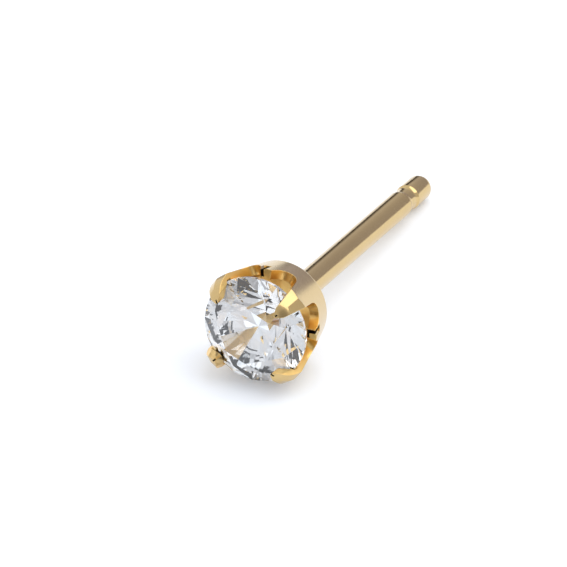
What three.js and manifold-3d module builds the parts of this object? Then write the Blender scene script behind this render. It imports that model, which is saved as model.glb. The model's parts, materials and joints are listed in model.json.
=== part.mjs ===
// A stud earring: a round brilliant stone in a gold cup with four claws, soldered to a straight post.
// Millimetres, +Z up. The stud lies on its side as it does on a table, on the cup's rim and the tip
// of its post: the stone faces -Y and the post runs towards +Y.

import * as THREE from 'three';
import { ConvexGeometry } from 'three/addons/geometries/ConvexGeometry.js';
import { mergeVertices } from 'three/addons/utils/BufferGeometryUtils.js';
import Module from 'manifold-3d';

const wasm = await Module();
wasm.setup();

// Stone. Heights along the stud's axis are counted from the girdle's front edge: forward is negative.
const STONE_RADIUS = 1.62;
const TABLE_RADIUS = 0.875;
const CROWN_ANGLE = 37;
const PAVILION_ANGLE = 41;
const GIRDLE_THICKNESS = 0.12;
const GIRDLE_DIP = 0.018;
const STAR_RADIUS = 1.22;
const LOWER_FACET_RADIUS = 0.38;
const GIRDLE_POINTS = 32;
const STONE_CLEARANCE = 0.04;

// Cup: a short cone of thick sheet, open at the front, with a flat back. Its sides are narrow flats,
// as a file leaves them, with one centred behind each peak of the rim: the stud lies on the lowest.
const CREASE = { radius: 1.85, height: 0.03 };
const BACK_EDGE = { radius: 1.43, height: 1.9 };
const BACK_HEIGHT = 2;
const BACK_ROUNDING = { flatInset: 0.1, middleInset: 0.025, middleDepth: 0.03 };
const WALL = 0.31;
const FLOOR_HEIGHT = 1.59;
const FLOOR_CORNER = 0.15;
const SIDES = 40;

// Claws: from the crease each one bows in over the crown and ends in a narrow tip. Half widths are
// angles around the axis. Two facets meet in a ridge along the claw's outer side.
const CLAWS = 4;
const CLAW_TIP = { radius: 1.29, height: -0.72 };
const CLAW_BOW = { radius: 1.74, height: -0.5 };
const CLAW_STEPS = 6;
const TIP_ROUNDING = { inset: 0.01, depth: 0.07 };
const TIP_CORNER = { angle: 50, fromRidge: 0.04 };
const TIP_ANGLE = 6.6;
const CREASE_ANGLE = 10.2;
const TAB = { angle: 12.4, height: 0.63, cornerAngle: 13.6 };
const ROOF_ANGLE = 12;
const TIP_SLIT = { width: 0.05, length: 0.2, depth: 0.06, fromEnd: 0.06 };

// Rim between two claws: it rises to a low peak half way, where a slit parts the sheet. Two of the
// slits are sawn a few degrees off the middle. A slit's edges are bevelled on the outside.
const RIM_PEAK = { angle: 5.6, height: 0.57 };
const RIM_LOW = { angle: 23, height: 1.08 };
const RIM_SLOPE = { angle: 10.4, height: 1.04 };
const SLIT = { width: 0.11, depth: 0.27, length: 0.36, offAngles: [-4, -3, 0, 0] };
const SLIT_BEVEL = { halfWidth: 0.13, depth: 0.1, length: 0.42 };

// Post, soldered to the middle of the cup's back.
const POST_RADIUS = 0.41;
const POST_END = 12.25;
const POST_NOSE = 0.3;
const SOLDER_FILLET = 0.09;
const NECK = { fromEnd: 1.45, length: 0.62, depth: 0.05 };

// Cutting solids run past the metal they cut by this much.
const OVERRUN = 0.1;

const rad = THREE.MathUtils.degToRad;

// Radius of the cup's outer cone at a height, carried on in a straight line past its ends.
function coneRadius(height) {
  const slope = (BACK_EDGE.radius - CREASE.radius) / (BACK_EDGE.height - CREASE.height);
  return CREASE.radius + slope * (height - CREASE.height);
}

// The facet planes that touch the girdle, as heights at a distance out from the axis.
const crownHeight = (radius) => -(STONE_RADIUS - radius) * Math.tan(rad(CROWN_ANGLE));
const pavilionHeight = (radius) =>
  GIRDLE_THICKNESS + (STONE_RADIUS - radius) * Math.tan(rad(PAVILION_ANGLE));

// The outer line of a claw from the crease to the tip, as [radius, height] pairs.
function clawRidge() {
  const curve = new THREE.QuadraticBezierCurve(
    new THREE.Vector2(CREASE.radius, CREASE.height),
    new THREE.Vector2(CLAW_BOW.radius, CLAW_BOW.height),
    new THREE.Vector2(CLAW_TIP.radius, CLAW_TIP.height),
  );
  return curve.getPoints(CLAW_STEPS).map((point) => [point.x, point.y]);
}

function toSolid(geometry) {
  const bare = geometry.index ? geometry.toNonIndexed() : geometry.clone();
  bare.deleteAttribute('normal');
  bare.deleteAttribute('uv');
  const merged = mergeVertices(bare, 1e-5);
  return new wasm.Manifold(new wasm.Mesh({
    numProp: 3,
    vertProperties: merged.attributes.position.array,
    triVerts: merged.index.array,
  }));
}

function toGeometry(solid) {
  const mesh = solid.getMesh();
  const geometry = new THREE.BufferGeometry();
  geometry.setAttribute('position', new THREE.BufferAttribute(new Float32Array(mesh.vertProperties), 3));
  geometry.setIndex(new THREE.BufferAttribute(new Uint32Array(mesh.triVerts), 1));
  return geometry;
}

// A point at an angle around the axis, which is +Y. Angle 0 points to +Z, 90 degrees to +X.
function around(angle, radius, height) {
  const turn = rad(angle);
  return new THREE.Vector3(radius * Math.sin(turn), height, radius * Math.cos(turn));
}

// Cup, claws and post turned in one profile, as if the claws were still one unbroken lip.
function turnedBody() {
  const notch = STONE_RADIUS + STONE_CLEARANCE;
  const pavilionGap = STONE_CLEARANCE / Math.cos(rad(PAVILION_ANGLE));
  const crownGap = STONE_CLEARANCE / Math.cos(rad(CROWN_ANGLE));
  const innerWall = (height) => coneRadius(height) - WALL;
  // The stone's bed slopes in beside the pavilion until it meets the inner wall.
  const closing = 1 + (innerWall(1) - innerWall(0)) * Math.tan(rad(PAVILION_ANGLE));
  const bedHeight = (pavilionHeight(innerWall(0)) + pavilionGap) / closing;
  const cornerHeight = FLOOR_HEIGHT - FLOOR_CORNER;
  const neckMiddle = POST_END - NECK.fromEnd;
  const profile = [[0, POST_END]];
  for (const turn of [30, 60, 90]) {
    const inset = POST_NOSE * (1 - Math.sin(rad(turn)));
    const height = POST_END - POST_NOSE * (1 - Math.cos(rad(turn)));
    profile.push([POST_RADIUS - inset, height]);
  }
  for (const step of [1, 0.4, -0.4, -1]) {
    const depth = Math.abs(step) < 1 ? NECK.depth : 0;
    profile.push([POST_RADIUS - depth, neckMiddle + (step * NECK.length) / 2]);
  }
  for (const turn of [0, 45, 90]) {
    profile.push([
      POST_RADIUS + SOLDER_FILLET * (1 - Math.cos(rad(turn))),
      BACK_HEIGHT + SOLDER_FILLET * (1 - Math.sin(rad(turn))),
    ]);
  }
  const { flatInset, middleInset, middleDepth } = BACK_ROUNDING;
  profile.push([BACK_EDGE.radius - flatInset, BACK_HEIGHT]);
  profile.push([BACK_EDGE.radius - middleInset, BACK_HEIGHT - middleDepth]);
  profile.push([BACK_EDGE.radius, BACK_EDGE.height]);
  profile.push(...clawRidge());
  profile.push([CLAW_TIP.radius - TIP_ROUNDING.inset, CLAW_TIP.height + TIP_ROUNDING.depth]);
  profile.push([CLAW_TIP.radius, crownHeight(CLAW_TIP.radius) - crownGap]);
  profile.push([notch, crownHeight(notch) - crownGap]);
  profile.push([notch, pavilionHeight(notch) + pavilionGap]);
  profile.push([innerWall(bedHeight), bedHeight]);
  profile.push([innerWall(cornerHeight), cornerHeight]);
  profile.push([innerWall(FLOOR_HEIGHT) - FLOOR_CORNER, FLOOR_HEIGHT]);
  profile.push([0, FLOOR_HEIGHT]);
  const points = profile.reverse().map(([radius, height]) => new THREE.Vector2(radius, height));
  return toSolid(new THREE.LatheGeometry(points, SIDES, Math.PI / SIDES));
}

// The opening between two claws, drawn as angle against height and then bent round the axis, so
// that its sides run straight out from the axis and stay square to the wall.
function scallopCutter(middleAngle) {
  const half = 180 / CLAWS;
  const outline = new THREE.Shape();
  const side = (sign) => ({
    top: [sign * (half - TIP_ANGLE + 1), CLAW_TIP.height - OVERRUN],
    tip: [sign * (half - TIP_ANGLE), CLAW_TIP.height],
    crease: [sign * (half - CREASE_ANGLE), CREASE.height],
    tab: [sign * (half - TAB.angle), TAB.height],
    corner: [sign * (half - TAB.cornerAngle), RIM_LOW.height],
    low: [sign * RIM_LOW.angle, RIM_LOW.height],
    slope: [sign * RIM_SLOPE.angle, RIM_SLOPE.height],
    peak: [sign * RIM_PEAK.angle, RIM_PEAK.height],
  });
  const [left, right] = [side(-1), side(1)];
  outline.moveTo(...left.top);
  outline.lineTo(...left.tip);
  outline.lineTo(...left.crease);
  outline.lineTo(...left.tab);
  outline.quadraticCurveTo(...left.corner, ...left.low);
  outline.quadraticCurveTo(...left.slope, ...left.peak);
  outline.lineTo(...right.peak);
  outline.quadraticCurveTo(...right.slope, ...right.low);
  outline.quadraticCurveTo(...right.corner, ...right.tab);
  outline.lineTo(...right.crease);
  outline.lineTo(...right.tip);
  outline.lineTo(...right.top);
  const [inner, outer] = [1.1, 2.6];
  const geometry = new THREE.ExtrudeGeometry(outline, {
    depth: outer - inner,
    bevelEnabled: false,
    curveSegments: 5,
    steps: 9,
  });
  const position = geometry.attributes.position;
  for (let i = 0; i < position.count; i += 1) {
    const [angle, height, distance] = [position.getX(i), position.getY(i), position.getZ(i)];
    const bent = around(middleAngle + angle, inner + distance, height);
    position.setXYZ(i, bent.x, bent.y, bent.z);
  }
  return toSolid(geometry);
}

// A box whose middle lies at a height on the ray at an angle, `depth` long on that ray.
function radialBox(angle, radius, height, width, length, depth, lean = 0) {
  const box = new THREE.BoxGeometry(width, length, depth);
  const holder = new THREE.Object3D();
  holder.rotation.order = 'YXZ';
  holder.rotation.set(lean, rad(angle), 0);
  holder.position.copy(around(angle, radius, height));
  holder.updateMatrix();
  return toSolid(box.applyMatrix4(holder.matrix));
}

// The slit at the rim's peak: it goes in from outside through most of the wall.
function rimSlit(angle) {
  const rim = coneRadius(RIM_PEAK.height);
  const [outer, inner] = [rim + OVERRUN, rim - SLIT.depth];
  const height = RIM_PEAK.height + (SLIT.length - OVERRUN) / 2;
  const length = SLIT.length + OVERRUN;
  return radialBox(angle, (outer + inner) / 2, height, SLIT.width, length, outer - inner);
}

// The wedge that bevels both edges of a rim slit.
function slitBevel(angle) {
  const { halfWidth, depth, length } = SLIT_BEVEL;
  const grow = 4;
  const section = new THREE.Shape();
  section.moveTo(0, -depth);
  section.lineTo(grow * halfWidth, (grow - 1) * depth);
  section.lineTo(-grow * halfWidth, (grow - 1) * depth);
  const geometry = new THREE.ExtrudeGeometry(section, {
    depth: length + OVERRUN,
    bevelEnabled: false,
  });
  const position = geometry.attributes.position;
  const sideways = around(angle - 90, 1, 0);
  for (let i = 0; i < position.count; i += 1) {
    const height = RIM_PEAK.height - OVERRUN + position.getZ(i);
    const point = around(angle, coneRadius(height) + position.getY(i), height);
    point.addScaledVector(sideways, position.getX(i));
    position.setXYZ(i, point.x, point.y, point.z);
  }
  return toSolid(geometry);
}

// What lies above a claw's two facets: the space outside its ridge line, drawn as radius against
// height, carried out to one side, sloped down towards that side, and mirrored for the other.
function facetCutter(angle) {
  const [width, far, overlap, carry] = [0.6, 3, 0.02, 2];
  const ridge = clawRidge();
  const [start, next] = ridge;
  const foot = [start[0] - carry * (next[0] - start[0]), start[1] - carry * (next[1] - start[1])];
  const front = CLAW_TIP.height - 1;
  const behindTip = CLAW_TIP.radius - 2 * OVERRUN;
  const outline = new THREE.Shape();
  outline.moveTo(far, front);
  outline.lineTo(far, foot[1]);
  outline.lineTo(...foot);
  for (const [radius, height] of ridge) {
    outline.lineTo(radius, height);
  }
  outline.lineTo(behindTip, CLAW_TIP.height);
  outline.lineTo(behindTip, front);
  const geometry = new THREE.ExtrudeGeometry(outline, { depth: width + overlap, bevelEnabled: false });
  const outward = around(angle, 1, 0);
  const sideways = around(angle - 90, 1, 0);
  const slope = Math.tan(rad(ROOF_ANGLE));
  const position = geometry.attributes.position;
  for (let i = 0; i < position.count; i += 1) {
    const aside = position.getZ(i) - overlap;
    const radius = position.getX(i) - aside * slope;
    const point = new THREE.Vector3(0, position.getY(i), 0);
    point.addScaledVector(outward, radius).addScaledVector(sideways, aside);
    position.setXYZ(i, point.x, point.y, point.z);
  }
  const half = toSolid(geometry);
  return half.add(half.mirror([sideways.x, 0, sideways.z]));
}

// The short slit that splits the end of a claw along its ridge.
function tipSlit(angle) {
  const { width, length, depth, fromEnd } = TIP_SLIT;
  const [run, rise] = [CREASE.radius - CLAW_TIP.radius, CREASE.height - CLAW_TIP.height];
  const share = fromEnd / Math.hypot(run, rise);
  const radius = CLAW_TIP.radius + run * share;
  const height = CLAW_TIP.height + rise * share;
  return radialBox(angle, radius, height, width, length, 2 * depth, -Math.atan2(run, rise));
}

// What lies past the corner cut off one side of a claw's end, through the claw's whole thickness.
function cornerCutter(angle, sign) {
  const size = 0.4;
  const [front, back] = [CLAW_TIP.height - OVERRUN, -OVERRUN];
  const outward = around(angle, 1, 0);
  const sideways = around(angle + 90, sign, 0);
  const facing = sideways.clone().multiplyScalar(Math.sin(rad(TIP_CORNER.angle)));
  facing.addScaledVector(outward, -Math.cos(rad(TIP_CORNER.angle)));
  const middle = outward.multiplyScalar(CLAW_TIP.radius);
  middle.addScaledVector(sideways, TIP_CORNER.fromRidge).addScaledVector(facing, size / 2);
  middle.y = (front + back) / 2;
  const upright = new THREE.Vector3(0, 1, 0);
  const placed = new THREE.Matrix4().makeBasis(upright.clone().cross(facing), upright, facing);
  placed.setPosition(middle);
  return toSolid(new THREE.BoxGeometry(2 * size, back - front, size).applyMatrix4(placed));
}

function settingAndPost() {
  let body = turnedBody();
  for (let i = 0; i < CLAWS; i += 1) {
    const middle = (i * 360) / CLAWS;
    const claw = middle + 180 / CLAWS;
    body = body.subtract(scallopCutter(middle));
    body = body.subtract(rimSlit(middle + SLIT.offAngles[i]));
    body = body.subtract(slitBevel(middle + SLIT.offAngles[i]));
    body = body.subtract(facetCutter(claw));
    body = body.subtract(cornerCutter(claw, 1)).subtract(cornerCutter(claw, -1));
    body = body.subtract(tipSlit(claw));
  }
  return toGeometry(body);
}

// Round brilliant: table, 8 star, 8 kite and 16 upper girdle facets in front, 16 lower girdle and
// 8 main facets behind. A kite's middle lies in line with each claw and half way between claws.
function roundBrilliant() {
  const corners = [];
  const starTilt = Math.cos(rad(22.5));
  for (let i = 0; i < 8; i += 1) {
    const kite = i * 45;
    const star = kite + 22.5;
    corners.push(around(kite, TABLE_RADIUS, crownHeight(TABLE_RADIUS)));
    corners.push(around(star, STAR_RADIUS, crownHeight(STAR_RADIUS * starTilt)));
    corners.push(around(star, LOWER_FACET_RADIUS, pavilionHeight(LOWER_FACET_RADIUS * starTilt)));
  }
  // The girdle dips by a hair where a flat facet cuts the round edge between its two corners.
  const facetStep = GIRDLE_POINTS / 16;
  for (let i = 0; i < GIRDLE_POINTS; i += 1) {
    const angle = (i * 360) / GIRDLE_POINTS;
    const inside = i % facetStep === 0 ? 0 : GIRDLE_DIP;
    corners.push(around(angle, STONE_RADIUS, inside));
    corners.push(around(angle, STONE_RADIUS, GIRDLE_THICKNESS - inside));
  }
  corners.push(around(0, 0, pavilionHeight(0)));
  return new ConvexGeometry(corners);
}

// Tilt at which the lowest points of the head and of the post's tip are level, in radians.
function restTilt(geometry) {
  const position = geometry.attributes.position;
  const middle = POST_END / 2;
  let tilt = 0;
  for (let round = 0; round < 8; round += 1) {
    const lowest = { head: null, tip: null };
    for (let i = 0; i < position.count; i += 1) {
      const [y, z] = [position.getY(i), position.getZ(i)];
      const end = y < middle ? 'head' : 'tip';
      const level = z * Math.cos(tilt) - y * Math.sin(tilt);
      if (!lowest[end] || level < lowest[end].level) {
        lowest[end] = { y, z, level };
      }
    }
    tilt = Math.atan2(lowest.tip.z - lowest.head.z, lowest.tip.y - lowest.head.y);
  }
  return tilt;
}

const gold = new THREE.MeshStandardMaterial({ color: 0xd9a94a, roughness: 0.18, metalness: 1 });
const clear = new THREE.MeshStandardMaterial({ color: 0xe9eef2, roughness: 0.02, metalness: 0 });

const setting = new THREE.Mesh(settingAndPost(), gold);
setting.name = 'setting_and_post';
const stone = new THREE.Mesh(roundBrilliant(), clear);
stone.name = 'stone';

// The stud is laid down: turned by its rest tilt, lifted onto the floor and centred over the origin.
const group = new THREE.Group();
group.add(setting, stone);
group.rotation.x = -restTilt(setting.geometry);
group.updateMatrixWorld(true);
const box = new THREE.Box3().setFromObject(group, true);
const centre = box.getCenter(new THREE.Vector3());
group.position.set(0, -centre.y, -box.min.z);
group.updateMatrixWorld(true);

export default group;
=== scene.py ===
import json
from math import cos, hypot, pi, radians, sin, tan

import bmesh
import bpy
from mathutils import Matrix, Vector
from mathutils.geometry import tessellate_polygon


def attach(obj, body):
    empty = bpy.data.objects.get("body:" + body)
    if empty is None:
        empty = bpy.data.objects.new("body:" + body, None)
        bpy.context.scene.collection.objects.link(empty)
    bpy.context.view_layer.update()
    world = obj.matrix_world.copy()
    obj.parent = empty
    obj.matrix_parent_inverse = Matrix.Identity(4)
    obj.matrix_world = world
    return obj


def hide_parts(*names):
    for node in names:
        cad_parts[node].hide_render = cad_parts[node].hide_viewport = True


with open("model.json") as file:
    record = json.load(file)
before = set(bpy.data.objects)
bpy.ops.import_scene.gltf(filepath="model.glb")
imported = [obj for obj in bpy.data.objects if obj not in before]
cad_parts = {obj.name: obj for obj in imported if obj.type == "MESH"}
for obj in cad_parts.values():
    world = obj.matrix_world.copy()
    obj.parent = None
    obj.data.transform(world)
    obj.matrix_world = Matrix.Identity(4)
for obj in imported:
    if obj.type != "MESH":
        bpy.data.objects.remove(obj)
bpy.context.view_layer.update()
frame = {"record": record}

# ---------------------------------------------------------------------------------------------
# Setting: a short cone of thick gold sheet whose rim is cut into four scallops, leaving four claws
# that bow in over the stone. A straight gold post is soldered to the middle of the flat back. It is
# cast and turned, filed by hand and polished bright.
# ---------------------------------------------------------------------------------------------

MM = 0.001

# The stud's own frame: +Y along the post, the origin in the middle of the stone's girdle. The seat
# against the ear gives its place, and the stud lies tilted on the cup's rim and the post's tip.
SEAT_HEIGHT = 2.0
SEAT_RADIUS = 0.9
seat = next(m for m in frame["record"]["mounts"] if m["name"] == "ear_seat")
along = Vector(seat["axis"]).normalized()
across = Vector((1, 0, 0))
raised = across.cross(along)
heart = Vector(seat["pos_m"]) - raised * SEAT_RADIUS * MM - along * SEAT_HEIGHT * MM
to_row = Matrix.Translation(heart) @ Matrix((across, along, raised)).transposed().to_4x4()
to_row = to_row @ Matrix.Scale(MM, 4)

# Stone and seat sizes in millimetres. Heights run back from the girdle's front edge.
STONE_RADIUS = 1.62
CROWN_SLOPE = tan(radians(37))
PAVILION_SLOPE = tan(radians(41))
GIRDLE = 0.12
CLEARANCE = 0.04

# Cup and claws. Pairs are radius and height, or half angle and height on the tab and the rim. The
# tip's corner is the angle it is cut at and how far from the ridge it starts.
CREASE = (1.85, 0.03)
BACK_EDGE = (1.43, 1.9)
BACK = 2.0
WALL = 0.31
FLOOR = 1.59
CLAW_BOW = (1.74, -0.5)
CLAW_TIP = (1.29, -0.72)
TIP_HALF_ANGLE = 6.6
TIP_CORNER = (50, 0.04)
CREASE_HALF_ANGLE = 10.2
TAB = (12.4, 0.63)
TAB_CORNER = (13.6, 1.08)
CLAW_ROOF = tan(radians(12))
RIM_PEAK = (5.6, 0.57)
RIM_SLOPE = (10.4, 1.04)
RIM_LOW = (23, 1.08)

# Slits: width, length back from the peak and depth, then the bevel's half width and depth. They
# start a little in front of the peak. Two of the four were sawn some degrees off the middle.
SLIT = (0.11, 0.39, 0.27)
SLIT_BEVEL = (0.13, 0.1)
SLIT_LEAD = 0.137
SLIT_OFF_MIDDLE = (-4, -3, 0, 0)

# Claw ends' saw cuts: width, reach out from the tip's radius and depth back from its end.
TIP_SLIT = (0.05, 0.1, 0.08)

POST = 0.41
POST_END = 12.25


def cone_radius(height):
    """Radius of the cup's outer cone at a height."""
    share = (height - CREASE[1]) / (BACK_EDGE[1] - CREASE[1])
    return CREASE[0] + share * (BACK_EDGE[0] - CREASE[0])


def crown(radius):
    """Height of the stone's crown at a distance from its axis."""
    return -(STONE_RADIUS - radius) * CROWN_SLOPE


def pavilion(radius):
    """Height of the stone's pavilion at a distance from its axis."""
    return GIRDLE + (STONE_RADIUS - radius) * PAVILION_SLOPE


def around(angle, radius, height):
    """A point at an angle round the axis: 0 is up, 90 is towards +X."""
    return Vector((radius * sin(radians(angle)), height, radius * cos(radians(angle))))


def bow(start, middle, end, steps):
    """Points on a quadratic curve from start to end, pulled towards middle."""
    points = []
    for i in range(steps + 1):
        t = i / steps
        points.append(tuple(
            (1 - t) ** 2 * a + 2 * t * (1 - t) * b + t * t * c for a, b, c in zip(start, middle, end)
        ))
    return points


def new_object(name, points, faces):
    """An object from points in the stud's own frame, in millimetres, with its faces turned out."""
    mesh = bpy.data.meshes.new(name)
    mesh.from_pydata(points, [], faces)
    work = bmesh.new()
    work.from_mesh(mesh)
    bmesh.ops.remove_doubles(work, verts=work.verts, dist=1e-5)
    bmesh.ops.recalc_face_normals(work, faces=work.faces)
    work.to_mesh(mesh)
    work.free()
    made = bpy.data.objects.new(name, mesh)
    bpy.context.collection.objects.link(made)
    return made


def turned(name, profile, sides):
    """A solid of revolution from (radius, height) pairs that start and end on the axis."""
    off_zero = 0.4  # of a column, so that no column lies in the plane of a cut
    points = [around(0, 0, profile[0][1])]
    for radius, height in profile[1:-1]:
        points += [around(360 * (i + off_zero) / sides, radius, height) for i in range(sides)]
    points.append(around(0, 0, profile[-1][1]))
    rings = len(profile) - 2
    ring = lambda k, i: 1 + k * sides + i % sides
    faces = [(0, ring(0, i + 1), ring(0, i)) for i in range(sides)]
    for k in range(rings - 1):
        faces += [(ring(k, i), ring(k, i + 1), ring(k + 1, i + 1), ring(k + 1, i)) for i in range(sides)]
    faces += [(len(points) - 1, ring(rings - 1, i), ring(rings - 1, i + 1)) for i in range(sides)]
    return new_object(name, points, faces)


def prism(name, outline, levels, place):
    """A solid drawn as a flat outline and carried through the levels, each point put by place."""
    points = [place(u, v, w) for w in levels for u, v in outline]
    count = len(outline)
    cap = tessellate_polygon([[Vector((u, v, 0)) for u, v in outline]])
    last = (len(levels) - 1) * count
    faces = [tuple(reversed(f)) for f in cap] + [tuple(last + i for i in f) for f in cap]
    for k in range(len(levels) - 1):
        for i in range(count):
            j = (i + 1) % count
            faces.append((k * count + i, k * count + j, (k + 1) * count + j, (k + 1) * count + i))
    return new_object(name, points, faces)


def carve(body, cutters):
    """Takes the cutters away from the body, in the order given."""
    for cutter in cutters:
        cut = body.modifiers.new(cutter.name, "BOOLEAN")
        cut.operation = "DIFFERENCE"
        cut.solver = "MANIFOLD"
        cut.object = cutter
    shape = bpy.data.meshes.new_from_object(body.evaluated_get(bpy.context.evaluated_depsgraph_get()))
    body.modifiers.clear()
    body.data = shape
    for cutter in cutters:
        bpy.data.objects.remove(cutter)


claw_ridge = bow(CREASE, CLAW_BOW, CLAW_TIP, 14)


def body_profile():
    """The cup, an unbroken lip in place of the claws, and the post, from the post's tip round."""
    nose, fillet, edge = 0.3, 0.09, 0.1
    notch = STONE_RADIUS + CLEARANCE
    pavilion_gap = CLEARANCE * hypot(1, PAVILION_SLOPE)
    crown_gap = CLEARANCE * hypot(1, CROWN_SLOPE)
    inner = cone_radius(0) - WALL
    taper = cone_radius(1) - cone_radius(0)
    bed = (pavilion(inner) + pavilion_gap) / (1 + taper * PAVILION_SLOPE)
    points = [(0, POST_END)]
    for turn in (15, 30, 45, 60, 75, 90):
        points.append((POST - nose * (1 - sin(radians(turn))), POST_END - nose * (1 - cos(radians(turn)))))
    neck_middle, neck_length, neck_depth = POST_END - 1.45, 0.62, 0.05
    for i in range(13):
        t = 1 - i / 6
        depth = neck_depth * (1 - t ** 6) ** 2
        points.append((POST - depth, neck_middle + t * neck_length / 2))
    for turn in (0, 15, 30, 45, 60, 75, 90):
        points.append((
            POST + fillet * (1 - cos(radians(turn))),
            BACK + fillet * (1 - sin(radians(turn))),
        ))
    points += bow((BACK_EDGE[0] - edge, BACK), (BACK_EDGE[0] - 0.01, BACK), BACK_EDGE, 6)
    points += claw_ridge
    points.append((CLAW_TIP[0] - 0.01, CLAW_TIP[1] + 0.07))
    points.append((CLAW_TIP[0], crown(CLAW_TIP[0]) - crown_gap))
    points.append((notch, crown(notch) - crown_gap))
    points.append((notch, pavilion(notch) + pavilion_gap))
    points.append((cone_radius(bed) - WALL, bed))
    points += bow((cone_radius(FLOOR - 0.2) - WALL, FLOOR - 0.2), (cone_radius(FLOOR) - WALL, FLOOR),
                  (cone_radius(FLOOR) - WALL - 0.2, FLOOR), 5)
    points.append((0, FLOOR))
    return points


def scallop(middle):
    """The opening between two claws: angle against height, carried straight out from the axis."""
    right = [(45 - TIP_HALF_ANGLE + 1, CLAW_TIP[1] - 0.1), (45 - TIP_HALF_ANGLE, CLAW_TIP[1])]
    right += [(45 - CREASE_HALF_ANGLE, CREASE[1])]
    right += bow((45 - TAB[0], TAB[1]), (45 - TAB_CORNER[0], TAB_CORNER[1]), RIM_LOW, 12)
    right += bow(RIM_LOW, RIM_SLOPE, (RIM_PEAK[0] + 0.4, RIM_PEAK[1] + 0.01), 14)[1:]
    right.append((RIM_PEAK[0] - 0.4, RIM_PEAK[1]))
    left = [(-angle, height) for angle, height in reversed(right)]
    levels = [1.1 + 0.1 * i for i in range(17)]
    return prism("scallop", right + left, levels, lambda u, v, w: around(middle + u, w, v))


def rim_slit(angle):
    """A slit in the rim's peak with both its edges bevelled, at an angle round the axis."""
    width, length, depth = SLIT
    half, bevel_depth = SLIT_BEVEL
    grow = 4
    side = around(angle + 90, 1, 0)
    shoulder = bevel_depth * (width / 2 / half - 1)
    right = [(width / 2, -depth), (width / 2, shoulder), (grow * half, (grow - 1) * bevel_depth)]
    outline = right + [(-u, v) for u, v in reversed(right)]
    return prism("slit", outline, (RIM_PEAK[1] - SLIT_LEAD, RIM_PEAK[1] + length),
                 lambda u, v, w: around(angle, cone_radius(w) + v, w) + side * u)


def tip_slit(angle):
    """The short saw cut that splits the end of a claw along its ridge."""
    width, length, depth = TIP_SLIT
    side = around(angle + 90, width / 2, 0)
    outline = [(CLAW_TIP[0] - 0.1, CLAW_TIP[1] - 0.2), (CLAW_TIP[0] + length, CLAW_TIP[1] - 0.2),
               (CLAW_TIP[0] + length, CLAW_TIP[1] + depth), (CLAW_TIP[0] - 0.1, CLAW_TIP[1] + depth)]
    return prism("tip_slit", outline, (-1, 1), lambda u, v, w: around(angle, u, v) + side * w)


def claw_facet(angle, sign):
    """What lies outside one of the two facets that run down a claw from its ridge."""
    first, second = claw_ridge[0], claw_ridge[1]
    carried = (first[0] - 5 * (second[0] - first[0]), first[1] - 5 * (second[1] - first[1]))
    outline = [(3, CLAW_TIP[1] - 1), (3, carried[1]), carried] + claw_ridge
    outline = [(radius - 0.004, height) for radius, height in outline]
    outline += [(CLAW_TIP[0] - 0.2, CLAW_TIP[1]), (CLAW_TIP[0] - 0.2, CLAW_TIP[1] - 1)]
    side = around(angle + 90 * sign, 1, 0)
    return prism("facet", outline, (-0.02, 0.6),
                 lambda u, v, w: around(angle, u - w * CLAW_ROOF, v) + side * w)


def claw_corner(angle, sign):
    """What lies past the corner cut off one side of a claw's end."""
    turn, from_ridge = radians(TIP_CORNER[0]), TIP_CORNER[1]
    size = 0.4
    outward, side = around(angle, 1, 0), around(angle + 90, sign, 0)
    facing = side * sin(turn) - outward * cos(turn)
    level = outward * sin(turn) + side * cos(turn)
    corner = outward * CLAW_TIP[0] + side * from_ridge
    outline = [(-size, 0), (size, 0), (size, size), (-size, size)]
    return prism("corner", outline, (CLAW_TIP[1] - 0.1, -0.1),
                 lambda u, v, w: corner + level * u + facing * v + Vector((0, w, 0)))


setting = turned("setting", body_profile(), 256)
cutters = []
for i in range(4):
    middle, claw = 90 * i, 90 * i + 45
    cutters.append(scallop(middle))
    cutters.append(rim_slit(middle + SLIT_OFF_MIDDLE[i]))
    for sign in (1, -1):
        cutters += [claw_facet(claw, sign), claw_corner(claw, sign)]
    cutters.append(tip_slit(claw))
carve(setting, cutters)


def in_a_cut(spot):
    """Whether a point of the surface, in millimetres, lies on a wall or the floor of a saw cut."""
    margin, inside, below_skin = 0.002, 1, 0.05
    for i in range(4):
        middle, claw = 90 * i + SLIT_OFF_MIDDLE[i], 90 * i + 45
        if abs(spot.dot(around(middle + 90, 1, 0))) < SLIT[0] / 2 + margin:
            reach = spot.dot(around(middle, 1, 0))
            along_slit = RIM_PEAK[1] - 0.1 < spot.y < RIM_PEAK[1] + SLIT[1] + 0.01
            if along_slit and inside < reach < cone_radius(spot.y) - below_skin:
                return True
        if abs(spot.dot(around(claw + 90, 1, 0))) < TIP_SLIT[0] / 2 + margin:
            at_tip = spot.y < CLAW_TIP[1] + TIP_SLIT[2] + margin
            if at_tip and spot.dot(around(claw, 1, 0)) > inside:
                return True
    return False


# The inside of the cup and the sawn edges of its rim and claws keep a softer finish, and a brighter,
# warmer colour there is painted light, standing in for light bounced round inside the cup. The walls
# of the saw cuts are painted near black: painted shade in the narrow cuts.
painted_slit_shade = setting.data.attributes.new("painted_slit_shade", "FLOAT", "FACE")
satin_and_painted_bounce = setting.data.attributes.new("satin_and_painted_bounce", "FLOAT", "FACE")
for face in setting.data.polygons:
    spot = face.center
    outward = Vector((spot.x, 0, spot.z)).normalized()
    # Faces in the saw cuts are marked for painted shade, a near-black colour.
    painted_slit_shade.data[face.index].value = 1.0 if in_a_cut(spot) else 0.0
    # Faces turned in to the cup, the scallops' sawn sides among them, get a softer roughness and painted
    # bounce light: a brighter, warmer colour.
    turned_in = spot.y < FLOOR + 0.01 and face.normal.dot(outward) < 0.2
    satin_and_painted_bounce.data[face.index].value = 1.0 if turned_in else 0.0
setting.data.transform(to_row)
setting.data.shade_smooth()
setting.data.set_sharp_from_angle(angle=radians(19))


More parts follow.
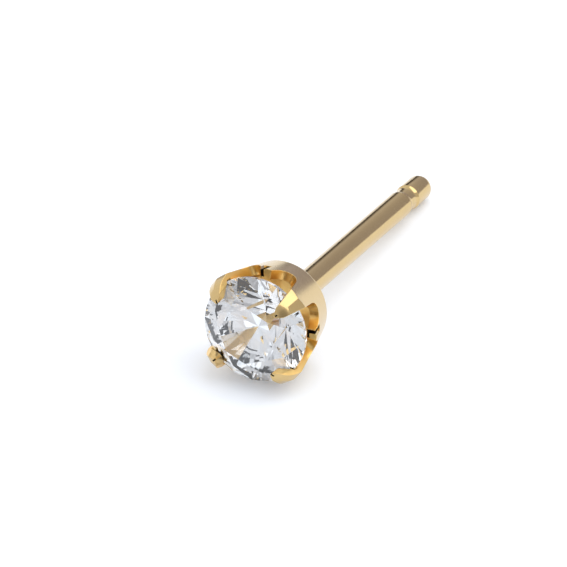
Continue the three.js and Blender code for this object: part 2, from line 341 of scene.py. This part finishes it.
class Value:
    """A shader socket that takes part in sums: an expression on it adds the Math nodes."""

    def __init__(self, tree, socket):
        self.tree, self.socket = tree, socket

    def node(self, kind, settings=None, **sockets):
        """Any other node: its type, its settings, and the values or links of its sockets."""
        made = self.tree.nodes.new(kind)
        for name, value in (settings or {}).items():
            setattr(made, name, value)
        for name, value in sockets.items():
            key = name.replace("_", " ")
            target = made.inputs[int(key[1:])] if key[1:].isdigit() else made.inputs[key]
            if isinstance(value, Value):
                self.tree.links.new(value.socket, target)
            else:
                target.default_value = value
        return made

    def maths(self, operation, *values):
        made = self.node("ShaderNodeMath", {"operation": operation},
                         **{f"i{i}": v for i, v in enumerate(values)})
        return Value(self.tree, made.outputs[0])

    def __add__(self, other):
        return self.maths("ADD", self, other)

    def __sub__(self, other):
        return self.maths("SUBTRACT", self, other)

    def __rsub__(self, other):
        return self.maths("SUBTRACT", other, self)

    def __mul__(self, other):
        return self.maths("MULTIPLY", self, other)

    __radd__, __rmul__ = __add__, __mul__


def start_material(name):
    """A material with an empty tree, its output, and a Value to make its nodes from."""
    material = bpy.data.materials.new(name)
    material.use_nodes = True
    material.node_tree.nodes.clear()
    return material, Value(material.node_tree, None)


def polished_gold():
    """Yellow gold from a soft wheel, faintly rippled: softer inside with painted bounce light, painted
    shade in the cuts.
    """
    material, make = start_material("polished gold")
    place = Value(make.tree, make.node("ShaderNodeTexCoord").outputs["Object"])
    ripple = make.node("ShaderNodeTexNoise", Vector=place, Scale=900.0, Detail=2.0)
    ripple = Value(make.tree, ripple.outputs["Fac"])
    grain = make.node("ShaderNodeTexNoise", Vector=place, Scale=9000.0, Detail=3.0)
    grain = Value(make.tree, grain.outputs["Fac"])
    edge = make.node("ShaderNodeBevel", {"samples": 6}, Radius=0.025 * MM)
    edge = Value(make.tree, edge.outputs["Normal"])
    relief = make.node("ShaderNodeBump", Strength=0.25, Distance=0.01 * MM,
                       Height=ripple * 0.8 + grain * 0.2, Normal=edge)
    relief = Value(make.tree, relief.outputs["Normal"])
    tone = make.node("ShaderNodeMix", {"data_type": "RGBA"}, i0=ripple,
                     A=(0.64, 0.455, 0.2, 1), B=(0.7, 0.51, 0.235, 1))
    tone = Value(make.tree, tone.outputs["Result"])
    # Softer roughness inside the cup, and painted bounce light: a brighter, warmer colour that stands in
    # for light bounced round the cup's inside.
    satin_and_painted_bounce = make.node("ShaderNodeAttribute", {"attribute_name": "satin_and_painted_bounce"})
    satin_and_painted_bounce = Value(make.tree, satin_and_painted_bounce.outputs["Fac"])
    tone = make.node("ShaderNodeMix", {"data_type": "RGBA"}, i0=satin_and_painted_bounce, A=tone, B=(1.0, 0.67, 0.24, 1))
    tone = Value(make.tree, tone.outputs["Result"])
    # Painted shade: the walls of the saw cuts go near black, standing in for the shade in the narrow gaps.
    painted_slit_shade = make.node("ShaderNodeAttribute", {"attribute_name": "painted_slit_shade"})
    painted_slit_shade = Value(make.tree, painted_slit_shade.outputs["Fac"])
    tone = make.node("ShaderNodeMix", {"data_type": "RGBA"}, i0=painted_slit_shade, A=tone, B=(0.03, 0.02, 0.01, 1))
    tone = Value(make.tree, tone.outputs["Result"])
    surface = make.node("ShaderNodeBsdfPrincipled", Base_Color=tone, Metallic=1.0,
                        Roughness=0.1 + 0.1 * grain + 0.15 * satin_and_painted_bounce + 0.4 * painted_slit_shade, Normal=relief)
    make.node("ShaderNodeOutputMaterial", Surface=Value(make.tree, surface.outputs[0]))
    return material


setting.data.materials.clear()
setting.data.materials.append(polished_gold())
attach(setting, "root")
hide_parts("setting_and_post")

# ---------------------------------------------------------------------------------------------
# Stone: a clear round brilliant. Table, stars, kites and upper girdle facets in front, lower girdle
# facets and mains behind, all ground flat and polished. The claws hold it by its girdle.
# ---------------------------------------------------------------------------------------------

TABLE_RADIUS = 0.875
STAR_RADIUS = 1.22
LOWER_FACET_RADIUS = 0.38
GIRDLE_POINTS = 32
GIRDLE_DIP = 0.018


def brilliant():
    """The cut stone, as the hull of its corners."""
    corners = []
    for i in range(8):
        kite, star = 45 * i, 45 * i + 22.5
        corners.append(around(kite, TABLE_RADIUS, crown(TABLE_RADIUS)))
        corners.append(around(star, STAR_RADIUS, crown(STAR_RADIUS * cos(pi / 8))))
        corners.append(around(star, LOWER_FACET_RADIUS, pavilion(LOWER_FACET_RADIUS * cos(pi / 8))))
    for i in range(GIRDLE_POINTS):
        dip = 0 if i % 2 == 0 else GIRDLE_DIP
        corners.append(around(360 * i / GIRDLE_POINTS, STONE_RADIUS, dip))
        corners.append(around(360 * i / GIRDLE_POINTS, STONE_RADIUS, GIRDLE - dip))
    corners.append(around(0, 0, pavilion(0)))
    work = bmesh.new()
    for corner in corners:
        work.verts.new(to_row @ corner)
    bmesh.ops.convex_hull(work, input=work.verts)
    bmesh.ops.dissolve_limit(work, angle_limit=radians(0.3), verts=work.verts, edges=work.edges)
    bmesh.ops.recalc_face_normals(work, faces=work.faces)
    mesh = bpy.data.meshes.new("stone")
    work.to_mesh(mesh)
    work.free()
    made = bpy.data.objects.new("brilliant", mesh)
    bpy.context.collection.objects.link(made)
    return made


def clear_stone():
    """Clear and very bright, with faint warm and cool patches of painted fire standing in for the colours
    that light splits into, and the faintest haze of polish.
    """
    material, make = start_material("clear stone")
    place = Value(make.tree, make.node("ShaderNodeTexCoord").outputs["Object"])
    haze = make.node("ShaderNodeTexNoise", Vector=place, Scale=2500.0, Detail=2.0)
    haze = Value(make.tree, haze.outputs["Fac"])
    # Painted fire: patches of faint warm and cool colour stand in for the colours that light splits into
    # in the stone.
    painted_fire = make.node("ShaderNodeTexNoise", Vector=place, Scale=1300.0, Detail=1.0)
    painted_fire = Value(make.tree, painted_fire.outputs["Fac"])
    tone = make.node("ShaderNodeMix", {"data_type": "RGBA"}, i0=(painted_fire - 0.35) * 3.3,
                     A=(0.93, 0.98, 1.0, 1), B=(1.0, 0.97, 0.94, 1))
    tone = Value(make.tree, tone.outputs["Result"])
    surface = make.node("ShaderNodeBsdfPrincipled", Base_Color=tone, IOR=2.15,
                        Transmission_Weight=1.0, Roughness=0.01 * haze)
    make.node("ShaderNodeOutputMaterial", Surface=Value(make.tree, surface.outputs[0]))
    return material


stone = brilliant()
stone.data.materials.append(clear_stone())
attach(stone, "root")
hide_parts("stone")

# ---------------------------------------------------------------------------------------------
# Floor: a sheet of matt white card, lit a little from below so that shadows stay faint.
# ---------------------------------------------------------------------------------------------

floor_mesh = bpy.data.meshes.new("floor")
FLOOR_HALF = 0.25
FLOOR_DROP = 0.02 * MM
floor_mesh.from_pydata([(x, y, -FLOOR_DROP) for x, y in
                        ((-FLOOR_HALF, -FLOOR_HALF), (FLOOR_HALF, -FLOOR_HALF),
                         (FLOOR_HALF, FLOOR_HALF), (-FLOOR_HALF, FLOOR_HALF))], [], [(0, 1, 2, 3)])
floor = bpy.data.objects.new("floor", floor_mesh)
bpy.context.collection.objects.link(floor)
material, make = start_material("white card")
place = Value(make.tree, make.node("ShaderNodeTexCoord").outputs["Object"])
fibre = make.node("ShaderNodeTexNoise", Vector=place, Scale=4000.0, Detail=2.0)
fibre = Value(make.tree, fibre.outputs["Fac"])
surface = make.node("ShaderNodeBsdfPrincipled", Base_Color=(0.91, 0.93, 0.96, 1),
                    Roughness=0.75 + 0.2 * fibre, Emission_Color=(0.8, 0.9, 1.0, 1),
                    Emission_Strength=0.18)
make.node("ShaderNodeOutputMaterial", Surface=Value(make.tree, surface.outputs[0]))
floor_mesh.materials.append(material)

# ---------------------------------------------------------------------------------------------
# Light: a pale tent, brighter on the left and dimmer behind, with a grey card in front to the right,
# a dark cloth low down behind to the left, and a soft box over it.
# ---------------------------------------------------------------------------------------------

world = bpy.data.worlds.new("tent")
bpy.context.scene.world = world
world.use_nodes = True
world.node_tree.nodes.clear()
make = Value(world.node_tree, None)
way = Value(make.tree, make.node("ShaderNodeTexCoord").outputs["Generated"])


def share_towards(direction, full, none):
    """1 within the angle `full` of a direction, 0 outside the angle `none`, in degrees."""
    facing = make.node("ShaderNodeVectorMath", {"operation": "DOT_PRODUCT"},
                       i0=way, i1=tuple(Vector(direction).normalized()))
    ramp = make.node("ShaderNodeMapRange", {"interpolation_type": "SMOOTHSTEP"},
                     Value=Value(make.tree, facing.outputs["Value"]),
                     From_Min=cos(radians(none)), From_Max=cos(radians(full)))
    return Value(make.tree, ramp.outputs[0])


def tinted(share, below, above):
    """One colour going over into another as the share grows."""
    mixed = make.node("ShaderNodeMix", {"data_type": "RGBA"}, i0=share, A=below, B=above)
    return Value(make.tree, mixed.outputs["Result"])


# Left, behind, the grey card and the dark cloth, in that order.
sky = tinted(share_towards((-1, 0, 0.3), 10, 100), (0.68, 0.69, 0.73, 1), (0.95, 0.96, 1.0, 1))
sky = tinted(share_towards((0.15, 1, -0.1), 15, 50), sky, (0.42, 0.42, 0.54, 1))
sky = tinted(share_towards((0.7, -0.6, 0.38), 6, 24), sky, (0.36, 0.36, 0.38, 1))
sky = tinted(share_towards((-0.53, 0.85, 0.02), 7, 20), sky, (0.07, 0.06, 0.06, 1))
surface = make.node("ShaderNodeBackground", Color=sky, Strength=1.0)
make.node("ShaderNodeOutputWorld", Surface=Value(make.tree, surface.outputs[0]))


def soft_box(name, place, aim, size, power):
    """A square soft light."""
    light = bpy.data.lights.new(name, "AREA")
    light.shape = "RECTANGLE"
    light.size, light.size_y = size
    light.energy = power
    lamp = bpy.data.objects.new(name, light)
    bpy.context.collection.objects.link(lamp)
    lamp.location = place
    lamp.rotation_euler = (Vector(aim) - Vector(place)).to_track_quat("-Z", "Y").to_euler()
    return lamp


soft_box("over", (0.13, 0.04, 0.27), (0, 0, 0), (0.34, 0.34), 0.5)

# ---------------------------------------------------------------------------------------------
# Camera: a long lens, a little above the stud and to the right of the way the stone faces.
# ---------------------------------------------------------------------------------------------

TURN = radians(25.27)
RISE = radians(30.85)
DISTANCE = 124 * MM
AIM_RIGHT, AIM_UP = 0.839 * MM, 1.341 * MM
toward = Vector((sin(TURN) * cos(RISE), -cos(TURN) * cos(RISE), sin(RISE)))
right = Vector((cos(TURN), sin(TURN), 0))
upward = toward.cross(right)
aim = heart + right * AIM_RIGHT + upward * AIM_UP
lens = bpy.data.cameras.new("camera")
lens.lens = 271
lens.sensor_width = 36
lens.clip_start = 0.005
lens.clip_end = 10
camera = bpy.data.objects.new("camera", lens)
bpy.context.collection.objects.link(camera)
camera.matrix_world = (Matrix.Translation(aim + toward * DISTANCE)
                       @ Matrix((right, upward, toward)).transposed().to_4x4())
bpy.context.scene.camera = camera
bpy.context.scene.view_settings.view_transform = "Standard"
